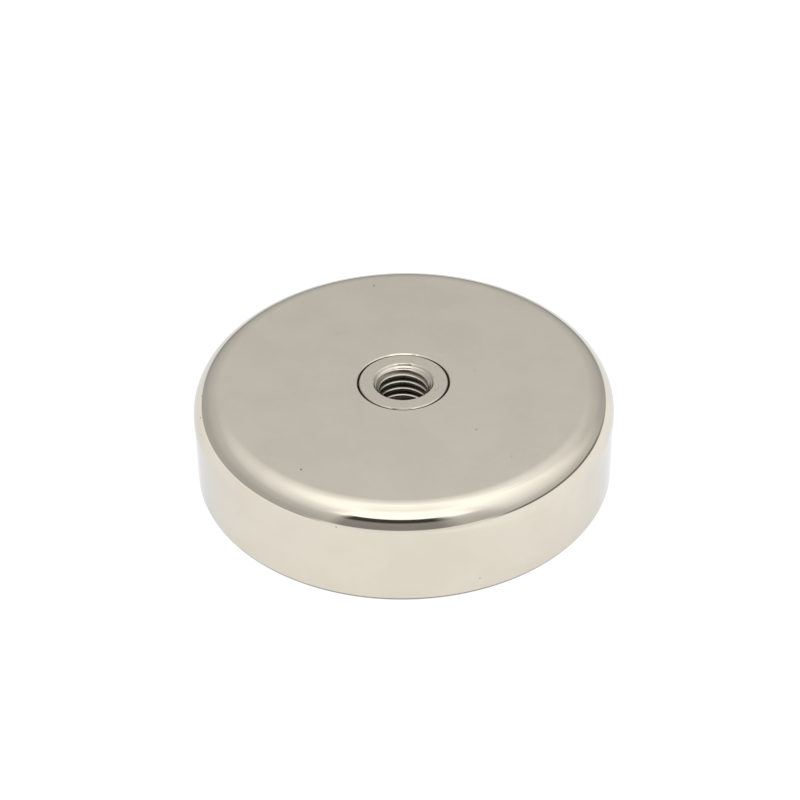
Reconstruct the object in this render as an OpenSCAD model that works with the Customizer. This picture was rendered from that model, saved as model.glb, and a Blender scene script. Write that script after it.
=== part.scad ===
// Single-sided pot magnet for magnet fishing: a deep steel cup that lies on its open, pulling side.
// The flat back has a threaded bush in its centre, for an eyebolt. The magnet is a solid disc that
// is glued to the cup's base and potted all round.
//
// Frame: origin at the centre of the pulling face, +Z out of the threaded back. Millimetres.

/* [Pot shell] */
// Outer diameter of the pot
pot_d = 75; // [60:1:120]
// Overall height of the pot, rim to back
pot_h = 18; // [15:0.5:30]
// Thickness of the side wall
pot_wall = 6; // [4:0.5:8]
// Radius of the rounded back edge
back_edge_r = 5; // [2:0.5:8]
// Bevel on the outer and inner edges of the rim
rim_bevel = 0.4; // [0.2:0.1:0.8]

/* [Magnet] */
// Thickness of the magnet disc
magnet_t = 8; // [5:0.5:9]
// Rounding of the magnet's edges
magnet_edge_r = 0.5; // [0.2:0.1:0.8]
// How far the magnet's face lies inside the rim
magnet_recess = 0.3; // [0.1:0.1:0.8]

/* [Bonding and potting] */
// Thickness of the adhesive between the magnet and the pot's base
bond_t = 0.2; // [0.1:0.05:0.4]
// Width of the resin-filled gap between the magnet and the side wall
potting_w = 1.5; // [1:0.25:4]
// Depth of the hollow that the resin's surface shrinks to
meniscus = 0.2; // [0.05:0.05:0.4]

/* [Threaded bush] */
// Diameter of the bush where it shows in the back
bush_d = 16; // [14.5:0.5:22]
// How far the inner flange stands out past the bush, all round
flange_reach = 4; // [2:0.5:6]
// Thickness of the inner flange
flange_t = 2.5; // [1.5:0.25:3.5]
// Steel left between the bottom of the thread and the magnet
bush_floor = 1.5; // [1:0.25:3]
// Gap all round between the bush and the pot
bush_gap = 0.1; // [0.05:0.05:0.2]
// Bevel on the edge of the bush and on the edge of the hole that it sits in
seat_bevel = 0.25; // [0.1:0.05:0.4]

/* [Thread] */
// Nominal diameter of the thread
thread_d = 10; // [6:1:12]
// Pitch of the thread
thread_pitch = 1.5; // [1:0.25:1.75]
// How far the turned mouth opens past the nominal diameter, all round
mouth_relief = 0.45; // [0.2:0.05:0.6]

/* [Hidden] */
$fn = 180;

// Cuts run this far past the face that they open
overcut = 1;

pot_r = pot_d / 2;
cavity_r = pot_r - pot_wall;
cavity_depth = magnet_recess + magnet_t + bond_t;

magnet_r = cavity_r - potting_w;
bond_r = magnet_r - magnet_edge_r;
potting_z = magnet_recess + magnet_edge_r;

bush_r = bush_d / 2;
flange_r = bush_r + flange_reach;
flange_top = cavity_depth + flange_t;
seat_r = bush_r + bush_gap;

// Depth of an ISO thread: five eighths of the height of the sharp V that its flanks would form
sharp_v_height = thread_pitch * sqrt(3) / 2;
thread_depth = sharp_v_height * 5 / 8;
bore_r = thread_d / 2 - thread_depth;
bore_bottom = cavity_depth + bush_floor;
mouth_r = thread_d / 2 + mouth_relief;

// Half outline of a disc that stands on z = 0, with both of its edges rounded
module disc_outline(r, h, edge) {
    square([r - edge, h]);
    translate([0, edge]) square([r, h - 2 * edge]);
    for (z = [edge, h - edge]) translate([r - edge, z]) circle(edge);
}

// Half outline of the solid pot before anything is cut from it
module pot_outline() {
    square([pot_r, pot_h - back_edge_r]);
    square([pot_r - back_edge_r, pot_h]);
    translate([pot_r - back_edge_r, pot_h - back_edge_r]) circle(back_edge_r);
}

// Diamond that cuts a 45 degree bevel of the given size from the corner it is centred on
module corner_bevel(corner, size) {
    translate(corner) rotate(45) square(size * sqrt(2), center = true);
}

// The steel cup: magnet cavity below, flange counterbore above it, and the hole for the bush
module pot_shell() {
    color("#c9c1b2")
    rotate_extrude()
    difference() {
        pot_outline();
        translate([0, -overcut]) square([cavity_r, cavity_depth + overcut]);
        square([flange_r + bush_gap, flange_top]);
        square([seat_r, pot_h + overcut]);
        corner_bevel([seat_r, pot_h], seat_bevel);
        corner_bevel([cavity_r, 0], rim_bevel);
        corner_bevel([pot_r, 0], rim_bevel);
    }
}

// Half outline of the bush: a wide flange below, and a body that reaches the pot's back
module bush_outline() {
    difference() {
        union() {
            translate([0, cavity_depth]) square([flange_r, flange_t]);
            translate([0, cavity_depth]) square([bush_r, pot_h - cavity_depth]);
        }
        corner_bevel([bush_r, pot_h], seat_bevel);
        for (z = [cavity_depth, flange_top]) corner_bevel([flange_r, z], seat_bevel);
    }
}

// The flanged bush, bored to the thread's minor diameter, with its 45 degree turned mouth
module threaded_bush() {
    mouth_depth = mouth_r - bore_r;
    color("#b8b2a6")
    difference() {
        rotate_extrude() bush_outline();
        translate([0, 0, bore_bottom]) cylinder(h = pot_h, r = bore_r);
        translate([0, 0, pot_h - mouth_depth])
            cylinder(h = mouth_depth + overcut, r1 = bore_r, r2 = mouth_r + overcut);
    }
}

// The magnet: a solid disc with tumbled edges
module magnet_disc() {
    color("#bdb8ae")
    translate([0, 0, magnet_recess])
        rotate_extrude() disc_outline(magnet_r, magnet_t, magnet_edge_r);
}

// The adhesive between the magnet's back and the cup's base
module adhesive_film() {
    color("#5b6066")
    translate([0, 0, cavity_depth - bond_t]) cylinder(h = bond_t, r = bond_r);
}

// The resin that fills the gap round the magnet, with a surface that dips between its two edges
module potting_ring() {
    half_w = potting_w / 2;
    dip_r = (half_w * half_w + meniscus * meniscus) / (2 * meniscus);
    color("#2b2d30")
    rotate_extrude()
    difference() {
        translate([bond_r, potting_z]) square([cavity_r - bond_r, cavity_depth - potting_z]);
        translate([0, magnet_recess]) disc_outline(magnet_r, magnet_t, magnet_edge_r);
        translate([cavity_r - half_w, potting_z + meniscus - dip_r]) circle(dip_r);
    }
}

pot_shell();
threaded_bush();
magnet_disc();
adhesive_film();
potting_ring();
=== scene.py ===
"""Magnet fishing magnet: a nickel-plated pot magnet that lies on its pulling face, threaded back up.

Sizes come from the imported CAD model, and what it leaves open is a named value here. Meshes, lights
and the camera are in metres. Materials work in millimetres, from each point's place on the object.
"""
import math

import bpy
from mathutils import Matrix, Vector, noise


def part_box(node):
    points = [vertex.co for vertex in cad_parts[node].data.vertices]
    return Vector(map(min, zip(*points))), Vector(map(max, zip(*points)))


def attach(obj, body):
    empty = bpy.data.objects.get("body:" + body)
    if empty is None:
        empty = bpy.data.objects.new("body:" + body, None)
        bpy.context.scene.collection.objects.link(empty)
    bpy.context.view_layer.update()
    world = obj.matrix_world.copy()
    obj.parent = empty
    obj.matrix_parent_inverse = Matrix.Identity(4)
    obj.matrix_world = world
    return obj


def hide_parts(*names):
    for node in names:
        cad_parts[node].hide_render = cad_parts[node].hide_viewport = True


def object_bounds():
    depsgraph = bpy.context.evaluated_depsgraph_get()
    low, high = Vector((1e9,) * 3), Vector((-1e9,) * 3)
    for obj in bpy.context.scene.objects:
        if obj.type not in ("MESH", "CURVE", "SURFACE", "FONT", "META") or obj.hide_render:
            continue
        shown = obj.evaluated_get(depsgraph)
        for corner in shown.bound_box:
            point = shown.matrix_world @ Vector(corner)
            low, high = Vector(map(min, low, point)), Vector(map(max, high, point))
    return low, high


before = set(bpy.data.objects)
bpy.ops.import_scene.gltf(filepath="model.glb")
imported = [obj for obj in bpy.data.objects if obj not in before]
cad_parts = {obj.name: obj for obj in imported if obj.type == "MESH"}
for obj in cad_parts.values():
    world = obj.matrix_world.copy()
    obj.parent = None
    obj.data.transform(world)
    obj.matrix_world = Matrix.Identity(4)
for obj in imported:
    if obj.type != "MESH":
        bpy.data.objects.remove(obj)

CAD_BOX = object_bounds()

MM = 0.001
COLUMNS = 288  # vertices round every turned piece; a multiple of 4, so the box is exact
AXIS = 1e-7  # anything nearer the axis than this is on it
SAME = 2e-6  # two CAD measures closer than this are the same
FINE, SOFT = 0.04 * MM, 0.12 * MM  # roundings of the machined corners, and of the rim's

# ---------------------------------------------------------------- measures read from the CAD


def cad_rings(node):
    """The distinct (radius, height) pairs of a CAD node's vertices."""
    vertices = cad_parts[node].data.vertices
    return sorted({(round(math.hypot(v.co.x, v.co.y), 6), round(v.co.z, 6)) for v in vertices})


def radii_at(rings, height):
    """The radii of a CAD node's corners at a height, apart from points on the axis."""
    return [r for r, z in rings if abs(z - height) < SAME and r > 0.1 * MM]


def heights_at(rings, radius):
    """The heights of a CAD node's corners at a radius."""
    return [z for r, z in rings if abs(r - radius) < SAME]


POT = cad_rings("pot_shell")
POT_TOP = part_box("pot_shell")[1].z
POT_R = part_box("pot_shell")[1].x
FLAT_R = max(radii_at(POT, POT_TOP))  # where the rounded back edge starts
CREASE_R = FLAT_R + 1.75 * MM  # a faint turned groove on the rounded edge
CREASE_HALF_WIDTH, CREASE_DEPTH = 0.16 * MM, 0.010 * MM
CREASE_LOWEST = POT_TOP - 1 * MM  # the groove's heights are all above this
HOLE_EDGE_R = min(radii_at(POT, POT_TOP))
SEAT_R = min(r for r, z in POT)
RIM_OUT_R = max(radii_at(POT, 0.0))
RIM_IN_R = min(radii_at(POT, 0.0))
RIM_BEVEL = POT_R - RIM_OUT_R
CAVITY_R = RIM_IN_R - RIM_BEVEL
CAVITY_TOP = max(heights_at(POT, CAVITY_R))
COUNTERBORE_TOP = min(heights_at(POT, SEAT_R))
COUNTERBORE_R = max(radii_at(POT, COUNTERBORE_TOP))

BUSH = cad_rings("threaded_bush")
BUSH_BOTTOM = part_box("threaded_bush")[0].z
BUSH_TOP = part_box("threaded_bush")[1].z
FLANGE_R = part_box("threaded_bush")[1].x
MOUTH_R = min(radii_at(BUSH, BUSH_TOP))
BUSH_FACE_R = max(radii_at(BUSH, BUSH_TOP))
BUSH_BEVEL = HOLE_EDGE_R - SEAT_R
BUSH_R = BUSH_FACE_R + BUSH_BEVEL
BORE_R = min(r for r, z in BUSH if r > 1 * MM)
BORE_BOTTOM = min(heights_at(BUSH, BORE_R))
BORE_TOP = max(heights_at(BUSH, BORE_R))
FLANGE_TOP = COUNTERBORE_TOP
FLANGE_BEVEL = FLANGE_R - max(radii_at(BUSH, BUSH_BOTTOM))

MAGNET = cad_rings("magnet_disc")
MAGNET_LOW, MAGNET_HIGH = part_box("magnet_disc")
MAGNET_R = MAGNET_HIGH.x
MAGNET_EDGE = MAGNET_R - max(radii_at(MAGNET, MAGNET_LOW.z))

POTTING = cad_rings("potting_ring")
POTTING_LOW, POTTING_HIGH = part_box("potting_ring")

# M10 x 1.5, right-hand: the CAD bore is at the minor diameter of this thread
PITCH = 1.5 * MM
ROOT_R = BORE_R + PITCH * math.sqrt(3) / 2 * 5 / 8  # a metric thread is 5/8 of its triangle deep
CREST_R = BORE_R + 0.05 * MM  # the crests are slightly eased, as a tap leaves them
GROOVE_Z = 16.70 * MM  # height of a groove's centre line at the azimuth of +Y
GROOVE_AZIMUTH = math.pi / 2
ROWS_PER_PITCH = 32  # a multiple of 16, so that rows fall on the corners of the profile
RUNOUT_LOW, RUNOUT_HIGH = BORE_BOTTOM + 0.7 * MM, BORE_BOTTOM + 2.0 * MM
THREAD_TOP = BUSH_TOP - (MOUTH_R - ROOT_R) + 0.06 * MM  # above it no groove reaches the mouth
THREAD_LOW = BORE_BOTTOM + 0.3 * MM
WELD = 0.004 * MM  # a thread row this close to an end ring is part of it

# ---------------------------------------------------------------- outlines and meshes


LARGE_ROUNDING = 2 * MM  # a rounding this large gets finer steps, so it stays smooth close up


def rounded_outline(corners, step=math.radians(11), support=0.04 * MM):
    """Closed outline through (radius, height, rounding) corners, each rounded to its own radius.

    A support point lies just past the end of each arc, so smooth shading keeps the flats flat.
    """
    outline = []
    for i, (x, z, rounding) in enumerate(corners):
        here = Vector((x, z))
        back = Vector(corners[i - 1][:2]) - here
        ahead = Vector(corners[(i + 1) % len(corners)][:2]) - here
        if rounding == 0:
            outline.append((x, z))
            continue
        opening = back.angle(ahead)
        reach = rounding / math.tan(opening / 2)
        a, b = back.normalized(), ahead.normalized()
        centre = here + (a + b).normalized() * (rounding / math.sin(opening / 2))
        start, end = here + a * reach, here + b * reach
        if back.length > reach + 3 * support:
            outline.append(tuple(start + a * support))
        turn = math.pi - opening
        arc_step = step if rounding < LARGE_ROUNDING else step / 12
        count = max(4, math.ceil(turn / arc_step))
        u, v = start - centre, end - centre
        for k in range(count + 1):
            t = k / count
            point = (u * math.sin((1 - t) * turn) + v * math.sin(t * turn)) / math.sin(turn)
            outline.append(tuple(centre + point))
        if ahead.length > reach + 3 * support:
            outline.append(tuple(end + b * support))
    return outline


def add_object(name, vertices, faces):
    """A smooth-shaded mesh object, linked to the scene."""
    mesh = bpy.data.meshes.new(name)
    mesh.from_pydata(vertices, [], faces)
    mesh.validate()
    mesh.update()
    mesh.polygons.foreach_set("use_smooth", [True] * len(mesh.polygons))
    obj = bpy.data.objects.new(name, mesh)
    bpy.context.scene.collection.objects.link(obj)
    return obj


def turn_outline(outline, closed=True, height=None):
    """(vertices, faces) of an outline turned round Z. Points on the axis become single vertices.

    The outline runs anticlockwise in (radius, height). height(radius, z, angle) may move a point.
    """
    vertices, rings = [], []
    for r, z in outline:
        if r < AXIS:
            rings.append([len(vertices)] * COLUMNS)
            vertices.append((0.0, 0.0, z))
            continue
        rings.append(range(len(vertices), len(vertices) + COLUMNS))
        for k in range(COLUMNS):
            angle = 2 * math.pi * k / COLUMNS
            level = height(r, z, angle) if height else z
            vertices.append((r * math.cos(angle), r * math.sin(angle), level))
    faces = []
    for i in range(len(rings) if closed else len(rings) - 1):
        low, high = rings[i], rings[(i + 1) % len(rings)]
        for k in range(COLUMNS):
            n = (k + 1) % COLUMNS
            face = list(dict.fromkeys((low[k], low[n], high[n], high[k])))
            if len(face) > 2:
                faces.append(face)
    return vertices, faces


def lathe(name, corners, height=None):
    """An object turned from (radius, height, rounding) corners, in anticlockwise order."""
    vertices, faces = turn_outline(rounded_outline(corners), height=height)
    return add_object(name, vertices, faces)


# ---------------------------------------------------------------- the pieces


def creased(r, z, angle):
    """Height of the cup's surface, with the turned groove cut into its rounded edge."""
    if z < CREASE_LOWEST:
        return z
    near = max(0.0, 1 - abs(r - CREASE_R) / CREASE_HALF_WIDTH)
    return z - CREASE_DEPTH * near * near * (3 - 2 * near)


def make_pot():
    """The cup: rounded back edge, flat back with its bevelled hole, ground rim."""
    return lathe("pot_body", [
        (RIM_IN_R, 0, SOFT),
        (RIM_OUT_R, 0, SOFT),
        (POT_R, RIM_BEVEL, SOFT),
        (POT_R, POT_TOP, POT_R - FLAT_R),
        (HOLE_EDGE_R, POT_TOP, FINE),
        (SEAT_R, POT_TOP - BUSH_BEVEL, FINE),
        (SEAT_R, COUNTERBORE_TOP, FINE),
        (COUNTERBORE_R, COUNTERBORE_TOP, FINE),
        (COUNTERBORE_R, CAVITY_TOP, FINE),
        (CAVITY_R, CAVITY_TOP, FINE),
        (CAVITY_R, RIM_BEVEL, SOFT),
    ], height=creased)


def smoothstep(low, high, value):
    t = min(1.0, max(0.0, (value - low) / (high - low)))
    return t * t * (3 - 2 * t)


def thread_profile():
    """Radius at each row of one pitch, from one groove's centre line to the next, corners eased."""
    rows = []
    for j in range(ROWS_PER_PITCH):
        away = min(j, ROWS_PER_PITCH - j) / ROWS_PER_PITCH
        flank = min(1.0, max(0.0, (away - 1 / 16) / (3 / 8 - 1 / 16)))
        rows.append(ROOT_R + (CREST_R - ROOT_R) * flank)
    for reach in (1, 2):
        rows = [
            0.5 * rows[j] + 0.25 * (rows[j - reach] + rows[(j + reach) % ROWS_PER_PITCH])
            for j in range(ROWS_PER_PITCH)
        ]
    return rows


MOUTH_STEP = 0.02 * MM  # height between the rings of vertices in the mouth
BLIND_ROUNDING = 0.25 * MM  # where the bore's wall meets its floor

# turned rings in the mouth: (depth below the face, half width, how deep they are cut)
MOUTH_RINGS = [(0.36 * MM, 0.09 * MM, 0.050 * MM), (0.73 * MM, 0.05 * MM, 0.026 * MM),
               (0.56 * MM, 0.03 * MM, 0.006 * MM), (0.93 * MM, 0.03 * MM, 0.010 * MM)]


def mouth_radius(z):
    """The 45 degree mouth, with the rings that the turning tool left."""
    depth = BUSH_TOP - z
    cut = sum(deep * math.exp(-(((depth - at) / half) ** 2)) for at, half, deep in MOUTH_RINGS)
    return BORE_R + (z - BORE_TOP) + cut


def bush_outside():
    """Open outline from the middle of the flange's underside, over the face, down the mouth."""
    shell = rounded_outline([
        (0, BUSH_BOTTOM, 0),
        (FLANGE_R - FLANGE_BEVEL, BUSH_BOTTOM, FINE),
        (FLANGE_R, BUSH_BOTTOM + FLANGE_BEVEL, FINE),
        (FLANGE_R, FLANGE_TOP - FLANGE_BEVEL, FINE),
        (FLANGE_R - FLANGE_BEVEL, FLANGE_TOP, FINE),
        (BUSH_R, FLANGE_TOP, FINE),
        (BUSH_R, BUSH_TOP - BUSH_BEVEL, FINE),
        (BUSH_FACE_R, BUSH_TOP, FINE),
        (MOUTH_R, BUSH_TOP, FINE),
        (BORE_R, BORE_TOP, 0),
    ])[:-1]
    mouth_top = shell[-1][1]
    steps = math.ceil((mouth_top - THREAD_TOP) / MOUTH_STEP)
    mouth = [mouth_top + (THREAD_TOP - mouth_top) * k / steps for k in range(1, steps + 1)]
    return shell + [(mouth_radius(z), z) for z in mouth]


def thread_columns(vertices, top_ring):
    """Adds the thread's vertices and gives their numbers, a column for each angle, lowest first.

    Rows wind up with the helix. Rows past the top lie on the ring that starts at top_ring, and rows
    past the bottom are None, for the ring of the bore's floor.
    """
    profile = thread_profile()
    first = math.floor((THREAD_LOW - GROOVE_Z) / PITCH) - 1
    row_count = (math.ceil((THREAD_TOP - THREAD_LOW) / PITCH) + 3) * ROWS_PER_PITCH
    columns = []
    for k in range(COLUMNS):
        angle = 2 * math.pi * k / COLUMNS
        lift = GROOVE_Z + PITCH * (first + (angle - GROOVE_AZIMUTH) / (2 * math.pi))
        column = []
        for j in range(row_count):
            z = lift + PITCH * j / ROWS_PER_PITCH
            if z >= THREAD_TOP - WELD:
                column.append(top_ring + k)
                continue
            if z <= THREAD_LOW + WELD:
                column.append(None)
                continue
            cut = smoothstep(RUNOUT_LOW, RUNOUT_HIGH, z)
            threaded = BORE_R + (profile[j % ROWS_PER_PITCH] - BORE_R) * cut
            radius = max(threaded, mouth_radius(z) if z > BORE_TOP else 0)
            column.append(len(vertices))
            vertices.append((radius * math.cos(angle), radius * math.sin(angle), z))
        columns.append(column)
    return columns


def thread_faces(columns):
    """Faces between neighbouring columns. One turn on, a row is one pitch, or ROWS_PER_PITCH, higher."""
    faces = []
    last = len(columns[0]) - 1
    for k in range(COLUMNS):
        here, ahead = columns[k], columns[(k + 1) % COLUMNS]
        turn = ROWS_PER_PITCH if k == COLUMNS - 1 else 0
        for j in range(last):
            a, b = min(j + turn, last), min(j + 1 + turn, last)
            face = list(dict.fromkeys((here[j + 1], ahead[b], ahead[a], here[j])))
            if len(face) > 2:
                faces.append(face)
    return faces


def make_bush():
    """The flush bush: flange inside the cup, bevelled face, turned mouth, real right-hand thread."""
    vertices, faces = turn_outline(bush_outside(), closed=False)
    columns = thread_columns(vertices, top_ring=len(vertices) - COLUMNS)

    floor = rounded_outline([
        (BORE_R, THREAD_LOW, 0), (BORE_R, BORE_BOTTOM, BLIND_ROUNDING), (0, BORE_BOTTOM, 0),
    ])
    bottom, bottom_faces = turn_outline(floor, closed=False)
    offset = len(vertices)
    vertices += bottom
    faces += [[offset + v for v in face] for face in bottom_faces]
    for k, column in enumerate(columns):
        columns[k] = [offset + k if v is None else v for v in column]
    return add_object("threaded_bush_body", vertices, faces + thread_faces(columns))


def make_magnet():
    return lathe("magnet_body", [
        (0, MAGNET_LOW.z, 0),
        (MAGNET_R, MAGNET_LOW.z, MAGNET_EDGE),
        (MAGNET_R, MAGNET_HIGH.z, MAGNET_EDGE),
        (0, MAGNET_HIGH.z, 0),
    ])


SURFACE_STEPS, EDGE_STEPS = 16, 8  # segments across the resin's surface and round the magnet's edge


def potting_outline(inner, outer, dip):
    """Closed outline of the resin ring, fitted to the magnet's rounded edge at its top."""
    low, high = POTTING_LOW.z, POTTING_HIGH.z
    middle, half = (inner + outer) / 2, (outer - inner) / 2
    surface = [(inner + (outer - inner) * k / SURFACE_STEPS) for k in range(SURFACE_STEPS + 1)]
    outline = [(r, low + dip * (1 - ((r - middle) / half) ** 2)) for r in surface]
    outline += [(outer, high), (inner - MAGNET_EDGE, high), (inner - MAGNET_EDGE, MAGNET_HIGH.z)]
    for k in range(1, EDGE_STEPS + 1):
        angle = math.radians(90 - 90 * k / EDGE_STEPS)
        outline.append((
            inner - MAGNET_EDGE * (1 - math.cos(angle)),
            MAGNET_HIGH.z - MAGNET_EDGE * (1 - math.sin(angle)),
        ))
    return outline


def make_potting():
    """The resin ring. Its surface dips between its edges and is slightly uneven, as poured."""
    low = POTTING_LOW.z
    inner, outer = MAGNET_R, CAVITY_R
    middle, half = (inner + outer) / 2, (outer - inner) / 2
    dip = max(z for r, z in POTTING if inner < r < outer and z < low + 1 * MM) - low

    def uneven(r, z, angle):
        if z >= low + 1.5 * dip:
            return z
        free = max(0.0, 1 - ((r - middle) / half) ** 2)
        around = Vector((math.cos(angle), math.sin(angle), 0)) * 9
        return z + free * 0.05 * MM * noise.noise(around) + free * 0.02 * MM * noise.noise(around * 5)

    vertices, faces = turn_outline(potting_outline(inner, outer, dip), height=uneven)
    return add_object("potting_body", vertices, faces)


# ---------------------------------------------------------------- node helper


class Nodes:
    """Short calls that add shader nodes. A value may be a number, a vector or a socket."""

    def __init__(self, tree):
        self.tree = tree
        tree.nodes.clear()

    def put(self, socket, value):
        if isinstance(value, bpy.types.NodeSocket):
            self.tree.links.new(value, socket)
        elif value is not None:
            socket.default_value = value

    def node(self, kind, inputs=(), **settings):
        made = self.tree.nodes.new(kind)
        for name, value in settings.items():
            setattr(made, name, value)
        for key, value in dict(inputs).items():
            self.put(made.inputs[key], value)
        return made

    def math(self, operation, a, b=None, c=None, clamp=False):
        inputs = {0: a, 1: b, 2: c}
        made = self.node("ShaderNodeMath", {k: v for k, v in inputs.items() if v is not None},
                         operation=operation, use_clamp=clamp)
        return made.outputs[0]

    def add(self, *values):
        total = values[0]
        for value in values[1:]:
            total = self.math("ADD", total, value)
        return total

    def mul(self, *values):
        total = values[0]
        for value in values[1:]:
            total = self.math("MULTIPLY", total, value)
        return total

    def step(self, value, low, high, to_low=0.0, to_high=1.0, kind="SMOOTHSTEP"):
        """From to_low at low to to_high at high, and level beyond. low may be above high."""
        made = self.node("ShaderNodeMapRange", {0: value, 1: low, 2: high, 3: to_low, 4: to_high},
                         interpolation_type=kind)
        return made.outputs[0]

    def mix(self, factor, a, b):
        """Colour a where factor is 0, b where it is 1."""
        made = self.node("ShaderNodeMix", data_type="RGBA")
        self.put(made.inputs[0], factor)
        self.put(made.inputs[6], a)
        self.put(made.inputs[7], b)
        return made.outputs[2]

    def noise(self, vector, scale, detail=2.0, roughness=0.5):
        made = self.node("ShaderNodeTexNoise",
                         {"Vector": vector, "Scale": scale, "Detail": detail, "Roughness": roughness})
        return made.outputs[0]

    def cells(self, vector, scale):
        """(distance to the nearest point, its random colour) of scattered points in a plane."""
        made = self.node("ShaderNodeTexVoronoi", voronoi_dimensions="2D")
        self.put(made.inputs["Vector"], vector)
        self.put(made.inputs["Scale"], scale)
        return made.outputs["Distance"], made.outputs["Color"]

    def stops(self, value, points):
        """Straight lines between (position 0..1, grey level 0..1) points."""
        made = self.node("ShaderNodeValToRGB", {0: value})
        ramp = made.color_ramp
        while len(ramp.elements) < len(points):
            ramp.elements.new(0.5)
        for element, (position, level) in zip(ramp.elements, points):
            element.position = position
            element.color = (level, level, level, 1)
        return made.outputs[0]


class Surface(Nodes):
    """A Principled material with object coordinates in millimetres, radius and height ready."""

    def __init__(self, name, **uniform):
        self.material = bpy.data.materials.new(name)
        self.material.use_nodes = True
        super().__init__(self.material.node_tree)
        self.shader = self.node("ShaderNodeBsdfPrincipled", uniform)
        output = self.node("ShaderNodeOutputMaterial")
        self.tree.links.new(self.shader.outputs[0], output.inputs[0])
        raw = self.node("ShaderNodeTexCoord").outputs["Object"]
        scaled = self.node("ShaderNodeVectorMath", {0: raw, 1: (1000, 1000, 1000)}, operation="MULTIPLY")
        self.place = scaled.outputs[0]
        split = self.node("ShaderNodeSeparateXYZ", {0: self.place})
        self.x, self.y, self.z = split.outputs
        self.radius = self.math("SQRT", self.add(self.mul(self.x, self.x), self.mul(self.y, self.y)))
        self.flat = self.node("ShaderNodeCombineXYZ", {0: self.x, 1: self.y}).outputs[0]

    def bump(self, height_mm, strength=1.0):
        """Bump of the given height, in millimetres."""
        made = self.node("ShaderNodeBump", {"Strength": strength, "Distance": MM, "Height": height_mm})
        self.put(self.shader.inputs["Normal"], made.outputs[0])

    def colour(self, socket):
        self.put(self.shader.inputs["Base Color"], socket)

    def roughness(self, socket):
        self.put(self.shader.inputs["Roughness"], socket)

    def with_gap_shade(self, tone, gap_shade):
        """Colour tone, with dark painted shade that isn't metal where gap_shade is 1."""
        self.colour(self.mix(gap_shade, tone, GAP_SHADE))
        self.put(self.shader.inputs["Metallic"], self.math("SUBTRACT", 1.0, gap_shade))

    def rings(self, per_mm):
        """Noise along the radius only, as a turning tool leaves it."""
        along = self.node("ShaderNodeCombineXYZ", {0: self.mul(self.radius, per_mm)}).outputs[0]
        return self.noise(along, 1.0, 3, 0.7)


def specks(s, sheet, every_mm, size_mm, share):
    """1 in small round specks on a flat sheet: one per every_mm each way, of which a share are there."""
    distance, tint = s.cells(sheet, 1 / every_mm)
    pick = s.node("ShaderNodeSeparateColor", {0: tint}).outputs
    chosen = s.math("LESS_THAN", pick[0], share)
    edge = s.mul(s.add(pick[1], 0.35), size_mm / every_mm)
    body = s.math("SUBTRACT", 1.0, s.math("DIVIDE", distance, edge), clamp=True)
    return s.mul(s.math("MULTIPLY", body, 2.5, clamp=True), chosen)


# ---------------------------------------------------------------- materials

NICKEL = (0.665, 0.618, 0.530, 1)
NICKEL_DEEP = (0.640, 0.592, 0.504, 1)
NICKEL_PALE = (0.680, 0.636, 0.552, 1)
NICKEL_EDGE = (0.82, 0.85, 0.89, 1)  # nickel's dip near grazing angles, relative to a plain metal
STEEL_PALE, STEEL_DEEP = (0.635, 0.590, 0.506, 1), (0.605, 0.560, 0.477, 1)
MOUTH_STEEL = (0.61, 0.565, 0.485, 1)
# lighter steel in the bore, left on the thread's crests: a painted highlight
CREST_HIGHLIGHT_STEEL = (0.74, 0.695, 0.61, 1)
# painted shade in the thread's grooves
GROOVE_SHADE = (0.075, 0.062, 0.046, 1)
# painted shade at the bottom of the blind bore
BORE_BOTTOM_SHADE = (0.045, 0.037, 0.030, 1)
MAGNET_PALE, MAGNET_DEEP = (0.70, 0.66, 0.58, 1), (0.64, 0.60, 0.52, 1)
RESIN_DARK, RESIN_PALE = (0.026, 0.026, 0.030, 1), (0.042, 0.041, 0.044, 1)
BUBBLE = (0.10, 0.10, 0.105, 1)
GLUE_DARK, GLUE_PALE = (0.27, 0.29, 0.31, 1), (0.36, 0.38, 0.40, 1)
SPECK = (0.16, 0.13, 0.10, 1)
# painted shade in the gap round the bush: dark, and not metal
GAP_SHADE = (0.020, 0.016, 0.012, 1)

# the materials' places, in millimetres
TOP_Z, FLAT, POT_SIDE = POT_TOP / MM, FLAT_R / MM, POT_R / MM
HOLE_EDGE, FACE_EDGE, MOUTH_EDGE = HOLE_EDGE_R / MM, BUSH_FACE_R / MM, MOUTH_R / MM
BUSH_Z, BORE_TOP_Z, BORE_FLOOR_Z = BUSH_TOP / MM, BORE_TOP / MM, BORE_BOTTOM / MM
ROOT, CREST = ROOT_R / MM, CREST_R / MM
SMUDGE_IN, SMUDGE_MID, SMUDGE_OUT = 7.0, 11.0, 16.0  # radii of the handled ring round the bush


def crevice(s):
    """1 in the narrow gap round the bush, where shade is painted dark. It lies higher to the left and
    right.
    """
    depth = s.math("SUBTRACT", TOP_Z, s.z)
    across = s.math("DIVIDE", s.x, s.radius)
    starts = s.math("SUBTRACT", 0.17, s.mul(across, across, 0.08))
    near = s.mul(s.step(s.radius, FACE_EDGE + 0.02, FACE_EDGE + 0.05),
                 s.step(s.radius, HOLE_EDGE + 0.1, HOLE_EDGE))
    return s.mul(near, s.step(s.math("SUBTRACT", depth, starts), 0, 0.04))


def unrolled(s):
    """A flat sheet to scatter things on: the top as it is, and the side wall unrolled."""
    wrapped = s.mul(s.math("ARCTAN2", s.x, s.mul(s.y, -1.0)), POT_SIDE)
    on_top = s.step(s.z, TOP_Z - 2.0, TOP_Z - 1.9)
    sheet = s.node("ShaderNodeMix", {0: on_top}, data_type="VECTOR")
    s.put(sheet.inputs[4], s.node("ShaderNodeCombineXYZ", {0: wrapped, 1: s.z}).outputs[0])
    s.put(sheet.inputs[5], s.flat)
    return sheet.outputs[1]


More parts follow.
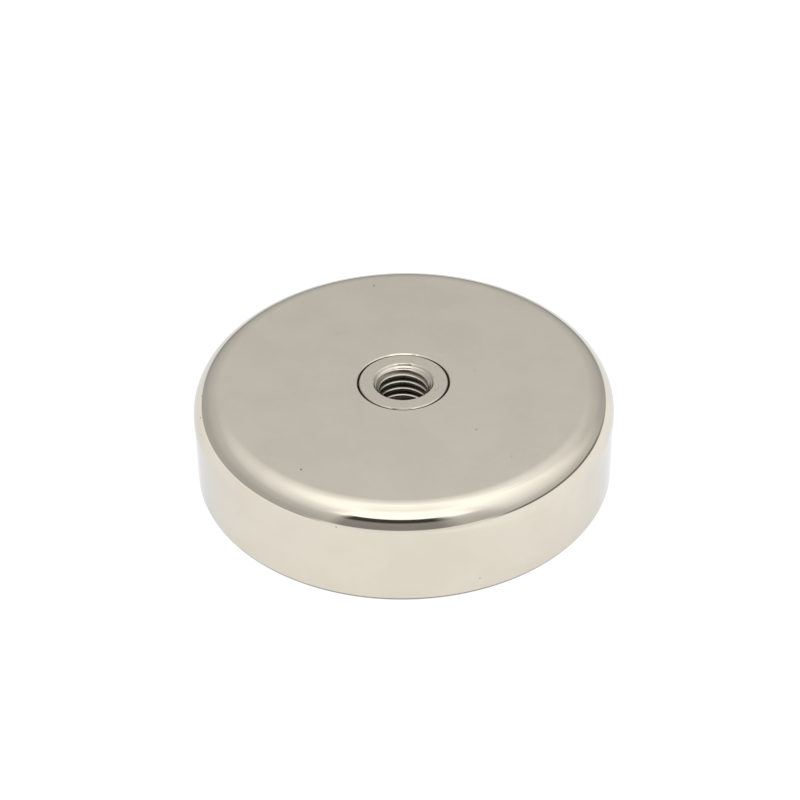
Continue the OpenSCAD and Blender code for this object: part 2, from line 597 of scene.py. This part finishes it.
def nickel_pot():
    """Bright nickel: satin on the flat back, polished on the edge and side, ground on the rim."""
    s = Surface("nickel_plated_steel", **{"Specular Tint": NICKEL_EDGE})
    top = s.mul(s.step(s.radius, HOLE_EDGE - 0.02, HOLE_EDGE + 0.06),
                s.step(s.radius, FLAT + 0.2, FLAT + 1.8, 1, 0),
                s.step(s.z, TOP_Z - 1.0, TOP_Z - 0.3))
    rim = s.step(s.z, 0.25, 0.05)

    broad = s.noise(s.place, 0.09, 3, 0.55)
    mottle = s.noise(s.place, 1.1, 3, 0.6)
    grain = s.noise(s.place, 5.0, 2, 0.6)
    handled = s.mul(s.step(s.radius, SMUDGE_IN, SMUDGE_MID),
                    s.step(s.radius, SMUDGE_MID, SMUDGE_OUT, 1, 0), top)
    smudge = s.mul(handled, s.step(s.noise(s.place, 0.35, 4, 0.65), 0.52, 0.68))
    dots = specks(s, unrolled(s), every_mm=6.0, size_mm=0.17, share=0.13)
    # painted shade in the gap round the bush
    gap_shade = crevice(s)

    tone = s.mix(s.step(broad, 0.35, 0.65), NICKEL, NICKEL_DEEP)
    tone = s.mix(s.mul(s.step(mottle, 0.5, 0.75), top, 0.35), tone, NICKEL_PALE)
    tone = s.mix(s.mul(smudge, 0.3), tone, NICKEL_DEEP)
    tone = s.mix(s.mul(dots, 0.8), tone, SPECK)
    s.with_gap_shade(tone, gap_shade)

    satin = s.add(0.17, s.mul(mottle, 0.10), s.mul(smudge, 0.05), s.mul(gap_shade, 0.4))
    polished = s.add(0.03, s.mul(s.step(broad, 0.4, 0.7), 0.02))
    ground = s.add(0.22, s.mul(grain, 0.15))
    face = s.node("ShaderNodeMix", {0: top, 2: polished, 3: satin}).outputs[0]
    s.roughness(s.node("ShaderNodeMix", {0: rim, 2: face, 3: ground}).outputs[0])

    s.bump(s.add(
        s.mul(mottle, top, 0.0018),
        s.mul(grain, top, 0.0004),
        s.mul(s.noise(s.place, 0.35, 2), 0.0015),
        s.mul(s.rings(12.0), rim, 0.004),
        s.mul(dots, -0.002),
    ))
    return s.material


def turned_steel():
    """The bush: fine concentric turning on its face. The thread has painted shade in its grooves and
    bore bottom, and a painted highlight on its crests.
    """
    s = Surface("turned_bush_steel", **{"Specular Tint": NICKEL_EDGE})
    face = s.mul(s.step(s.z, BUSH_Z - 0.12, BUSH_Z - 0.02),
                 s.step(s.radius, MOUTH_EDGE - 0.05, MOUTH_EDGE + 0.05))
    cone = s.mul(s.step(s.z, BUSH_Z - 0.05, BUSH_Z - 0.15),
                 s.step(s.radius, MOUTH_EDGE + 0.05, MOUTH_EDGE))
    inside = s.step(s.radius, ROOT + 0.3, ROOT + 0.2)
    deep = s.mul(s.step(s.z, BORE_TOP_Z + 0.35, BORE_TOP_Z), inside)
    # painted shade in the thread's grooves, darker further into the bore
    groove = s.mul(s.step(s.radius, CREST + 0.02, CREST + 0.28), deep,
                   s.step(s.z, BORE_TOP_Z + 0.2, BORE_TOP_Z - 1.2, 0.75, 1))
    # painted shade near the bottom of the blind bore
    bore_bottom_shade = s.mul(s.step(s.z, BORE_FLOOR_Z + 1.1, BORE_FLOOR_Z + 0.4), inside,
                  s.step(s.z, BORE_FLOOR_Z - 0.2, BORE_FLOOR_Z - 0.1))

    mottle = s.noise(s.place, 1.6, 3, 0.6)
    grain = s.noise(s.place, 9.0, 2, 0.6)
    dots = specks(s, s.flat, every_mm=2.6, size_mm=0.12, share=0.2)
    # painted shade in the gap round the bush
    gap_shade = crevice(s)

    tone = s.mix(s.step(mottle, 0.3, 0.7), STEEL_PALE, STEEL_DEEP)
    tone = s.mix(cone, tone, MOUTH_STEEL)
    # lighter steel in the bore: a painted highlight on the crests
    tone = s.mix(deep, tone, CREST_HIGHLIGHT_STEEL)
    tone = s.mix(s.mul(groove, 0.95), tone, GROOVE_SHADE)
    tone = s.mix(s.mul(bore_bottom_shade, 0.95), tone, BORE_BOTTOM_SHADE)
    tone = s.mix(s.mul(dots, face, 0.7), tone, SPECK)
    s.with_gap_shade(tone, gap_shade)

    s.roughness(s.add(
        0.09,
        s.mul(face, 0.11),
        s.mul(mottle, 0.07),
        s.mul(deep, 0.04),
        s.mul(groove, 0.15),
        s.mul(bore_bottom_shade, 0.25),
        s.mul(gap_shade, 0.4),
    ))
    s.bump(s.add(
        s.mul(s.rings(9.0), face, 0.0035),
        s.mul(mottle, 0.0012),
        s.mul(grain, 0.0008),
    ))
    return s.material


def nickel_magnet():
    """The magnet's own plating: satin from tumbling, with the odd fine scratch from use."""
    s = Surface("nickel_plated_magnet", Metallic=1.0, **{"Specular Tint": NICKEL_EDGE})
    broad = s.noise(s.place, 0.12, 3, 0.6)
    fine = s.noise(s.place, 2.4, 3, 0.65)
    dots = specks(s, s.flat, every_mm=4.0, size_mm=0.2, share=0.25)
    tone = s.mix(s.step(broad, 0.35, 0.7), MAGNET_PALE, MAGNET_DEEP)
    s.colour(s.mix(s.mul(dots, 0.6), tone, SPECK))
    marks = 0.0
    for turn, stretch in ((0.35, 0.05), (1.25, 0.07), (2.4, 0.04)):
        turned = s.node("ShaderNodeVectorRotate", {"Vector": s.place, "Angle": turn},
                        rotation_type="Z_AXIS").outputs[0]
        long = s.node("ShaderNodeVectorMath", {0: turned, 1: (stretch, 3.0, 1.0)},
                      operation="MULTIPLY").outputs[0]
        mark = s.step(s.noise(long, 1.0, 2, 0.5), 0.66, 0.72)
        marks = s.math("MAXIMUM", marks, mark)
    s.roughness(s.add(0.16, s.mul(fine, 0.12), s.mul(marks, 0.12)))
    s.bump(s.add(s.mul(fine, 0.0025), s.mul(marks, -0.002)))
    return s.material


def resin():
    """Dark potting resin: glossy, faintly wavy, with a few burst bubbles."""
    s = Surface("potting_resin", Metallic=0.0, IOR=1.54)
    wave = s.noise(s.place, 0.7, 3, 0.55)
    bubbles = specks(s, s.flat, every_mm=1.6, size_mm=0.22, share=0.3)
    tone = s.mix(s.step(wave, 0.35, 0.7), RESIN_DARK, RESIN_PALE)
    s.colour(s.mix(s.mul(bubbles, 0.6), tone, BUBBLE))
    s.roughness(s.add(0.14, s.mul(wave, 0.14), s.mul(bubbles, 0.2)))
    s.bump(s.add(s.mul(wave, 0.03), s.mul(bubbles, -0.05)))
    return s.material


def adhesive():
    """Structural adhesive: grey, matte, with a fine filler grain."""
    s = Surface("structural_adhesive", Metallic=0.0, IOR=1.5)
    filler = s.noise(s.place, 6.0, 3, 0.7)
    s.colour(s.mix(s.step(filler, 0.35, 0.65), GLUE_DARK, GLUE_PALE))
    s.roughness(s.add(0.5, s.mul(filler, 0.2)))
    s.bump(s.mul(filler, 0.02))
    return s.material


# ---------------------------------------------------------------- camera, light and floor

VIEW_ELEVATION = math.radians(38.19)
VIEW_DISTANCE = 0.400
VIEW_ROLL = math.radians(-0.84)
LENS_MM, SENSOR_MM = 100.1, 36
SHIFT = (-0.0050, 0.0266)


def make_camera():
    """Looks at the middle of the object from the front and above, with a slight roll."""
    target = (CAD_BOX[0] + CAD_BOX[1]) / 2
    back = Vector((0, -math.cos(VIEW_ELEVATION), math.sin(VIEW_ELEVATION)))
    data = bpy.data.cameras.new("camera")
    data.lens, data.sensor_width = LENS_MM, SENSOR_MM
    data.shift_x, data.shift_y = SHIFT
    data.clip_start, data.clip_end = 0.01, 50
    camera = bpy.data.objects.new("camera", data)
    aim = (-back).to_track_quat("-Z", "Y").to_matrix().to_4x4()
    roll = Matrix.Rotation(VIEW_ROLL, 4, "Z")
    camera.matrix_world = Matrix.Translation(target + back * VIEW_DISTANCE) @ aim @ roll
    bpy.context.scene.collection.objects.link(camera)
    bpy.context.scene.camera = camera


UNLIT = (0.030, 0.024, 0.022, 1)
ZENITH = [(84, 1.42), (90, 1.4)]
CEILING = [(42, 0.86), (50, 1.02), (60, 1.22), (66, 1.45), (74, 1.65)] + ZENITH

# brightness of the room by elevation in degrees, for each side, relative to a white of 1
WALLS = [(0, 1.4), (2, 1.15), (4.5, 0.56), (20, 0.58), (30, 0.68), (35, 0.72), (38, 0.74)] + CEILING
BACK = [(0, 0.6), (2, 0.42), (7, 0.46), (14, 0.60), (22, 0.66), (30, 0.69), (35, 0.72),
        (38, 0.74)] + CEILING
RIGHT = [(0, 1.1), (2, 1.1), (3, 0.2), (7, 0.2), (9, 0.68), (18, 0.75), (30, 1.0),
         (40, 1.15), (50, 1.3), (60, 1.45), (66, 1.6), (74, 1.65)] + ZENITH
FRONT = [(0, 1.1), (8, 1.1), (11, 0.6), (30, 0.68), (44, 0.85), (51, 1.75), (76, 1.7)] + ZENITH


def make_world():
    """A pale room with a wide soft light overhead, unlit on the side where the camera stands.

    Brightness goes by direction: elevation up, and azimuth turn, from -Y at 0 towards +X at 90.
    """
    world = bpy.data.worlds.new("studio")
    world.use_nodes = True
    bpy.context.scene.world = world
    n = Nodes(world.node_tree)
    toward = n.node("ShaderNodeTexCoord").outputs["Generated"]
    x, y, z = n.node("ShaderNodeSeparateXYZ", {0: toward}).outputs
    flat = n.math("SQRT", n.add(n.mul(x, x), n.mul(y, y)))
    up = n.mul(n.math("ARCTAN2", z, flat), 180 / math.pi)
    turn = n.mul(n.math("ARCTAN2", x, n.mul(y, -1.0)), 180 / math.pi)
    height = n.step(up, 0, 90, kind="LINEAR")

    def profile(points):
        """Brightness by elevation. The ramp holds 0 to 1, so it stores half of each level."""
        return n.mul(n.stops(height, [(angle / 90, level / 2) for angle, level in points]), 2.0)

    on_right = n.mul(n.step(turn, 35, 62), n.step(turn, 105, 135, 1, 0))
    around = n.math("ABSOLUTE", turn)
    level = n.mix(on_right, profile(WALLS), profile(RIGHT))
    level = n.mix(n.step(around, 135, 160), level, profile(BACK))
    level = n.mix(n.step(around, 52, 35), level, profile(FRONT))

    # the unlit gap in the room round the camera: deepest high up, and soft at its ends
    gap = n.mul(n.step(turn, -40, -30), n.step(turn, 31, 15), n.step(up, 6, 11), n.step(up, 53, 50))
    level = n.mix(n.mul(gap, n.step(up, 32, 41, 0.5, 0.96)), level, UNLIT)

    background = n.node("ShaderNodeBackground", {0: level, 1: 1.0})
    output = n.node("ShaderNodeOutputWorld")
    world.node_tree.links.new(background.outputs[0], output.inputs[0])


FLOOR_REACH, FLOOR_Z = 3.0, -1e-5
FLOOR_GREY = (0.25, 0.25, 0.25, 1)


def make_floor():
    """A plain white floor, lit from within like a light table, so shadows stay faint.

    It is a little brighter at the object's foot and to its right, and unlit underneath it.
    """
    near, far = -FLOOR_REACH, FLOOR_REACH
    corners = [(near, near, FLOOR_Z), (far, near, FLOOR_Z), (far, far, FLOOR_Z), (near, far, FLOOR_Z)]
    floor = add_object("floor", corners, [(0, 1, 2, 3)])
    s = Surface("white_floor", Metallic=0.0)
    s.put(s.shader.inputs["Base Color"], FLOOR_GREY)
    s.put(s.shader.inputs["Roughness"], 0.9)
    s.put(s.shader.inputs["Specular IOR Level"], 0.0)
    s.put(s.shader.inputs["Emission Color"], (1, 1, 1, 1))
    # the glow is painted light: stronger at the foot and to the right, and off under the object as a
    # painted contact shadow
    foot = s.step(s.radius, POT_SIDE, POT_SIDE + 10, 0.88, 0.83)
    to_right = s.step(s.x, 20, 50, 0, 0.08)
    outside = s.step(s.radius, POT_SIDE - 0.45, POT_SIDE)
    s.put(s.shader.inputs["Emission Strength"], s.mul(s.add(foot, to_right), outside))
    floor.data.materials.append(s.material)


LAMP_WIDTH, LAMP_WATTS, LAMP_PLACE = 1.2, 4.0, (0, -0.1, 1.2)


def make_softbox():
    """A wide soft lamp overhead. It adds diffuse light only: the metal mirrors the room instead."""
    data = bpy.data.lights.new("softbox", "AREA")
    data.shape, data.size = "DISK", LAMP_WIDTH
    data.energy = LAMP_WATTS
    lamp = bpy.data.objects.new("softbox", data)
    lamp.location = LAMP_PLACE
    lamp.visible_glossy = False
    bpy.context.scene.collection.objects.link(lamp)


# ---------------------------------------------------------------- build

make_camera()
make_world()
make_floor()
make_softbox()
bpy.context.scene.view_settings.view_transform = "Standard"

for maker, node, slot, material in (
    (make_pot, "pot_shell", "nickel_plated_steel", nickel_pot),
    (make_bush, "threaded_bush", "turned_bush_steel", turned_steel),
    (make_magnet, "magnet_disc", "nickel_plated_magnet", nickel_magnet),
    (make_potting, "potting_ring", "potting_resin", resin),
):
    piece = maker()
    piece.data.materials.append(material())
    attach(piece, "root")
    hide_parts(node)

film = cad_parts["adhesive_film"]
film.data.materials.clear()
film.data.materials.append(adhesive())
